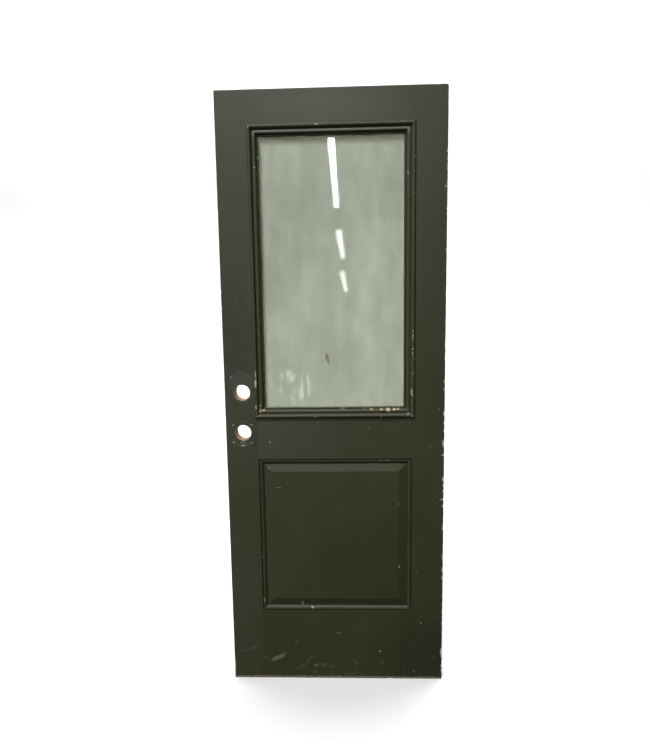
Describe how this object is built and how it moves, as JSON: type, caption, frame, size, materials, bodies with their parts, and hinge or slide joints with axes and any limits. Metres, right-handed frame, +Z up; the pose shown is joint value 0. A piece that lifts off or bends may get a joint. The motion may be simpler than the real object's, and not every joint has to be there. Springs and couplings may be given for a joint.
{
  "type": "exterior door leaf",
  "caption": "Half-glazed exterior door leaf: sealed glass unit over a raised panel, mitred mouldings, lock bores and hinge gains, worn dark olive paint.",
  "frame": {"origin": "middle of the leaf's bottom edge, at half its thickness", "axes": "+Z up, +X towards the hinge edge, -Y out of the street face"},
  "size_m": [0.749, 0.0624, 2.032],
  "materials": {
    "painted_wood": "very dark olive green satin paint, faded and chipped at the edges",
    "painted_moulding": "very dark olive green satin paint, chipped to cream primer",
    "bare_wood": "unpainted softwood",
    "glass": "clear float glass, smudged",
    "spacer_metal": "mill finish",
    "sealant": "matt",
    "block_rubber": "matt",
    "tape": "matt foam",
    "brad_steel": "plain wire"
  },
  "bodies": {
    "root": {"lock_stile": "painted_wood", "hinge_stile": "painted_wood", "top_rail": "painted_wood", "lock_rail": "painted_wood", "bottom_rail": "painted_wood", "joint_dowels": "bare_wood", "raised_panel": "painted_wood", "front_pane": "glass", "back_pane": "glass", "pane_spacer": "spacer_metal", "edge_sealant": "sealant", "setting_blocks": "block_rubber", "front_glazing_tape": "tape", "back_glazing_tape": "tape", "glazing_brads": "brad_steel", "panel_brads": "brad_steel", "glazing_moulding_front_bottom": "painted_moulding", "glazing_moulding_front_hinge_side": "painted_moulding", "glazing_moulding_front_top": "painted_moulding", "glazing_moulding_front_lock_side": "painted_moulding", "glazing_moulding_back_bottom": "painted_moulding", "glazing_moulding_back_hinge_side": "painted_moulding", "glazing_moulding_back_top": "painted_moulding", "glazing_moulding_back_lock_side": "painted_moulding", "panel_moulding_front_bottom": "painted_moulding", "panel_moulding_front_hinge_side": "painted_moulding", "panel_moulding_front_top": "painted_moulding", "panel_moulding_front_lock_side": "painted_moulding", "panel_moulding_back_bottom": "painted_moulding", "panel_moulding_back_hinge_side": "painted_moulding", "panel_moulding_back_top": "painted_moulding", "panel_moulding_back_lock_side": "painted_moulding"}
  },
  "joints": []
}
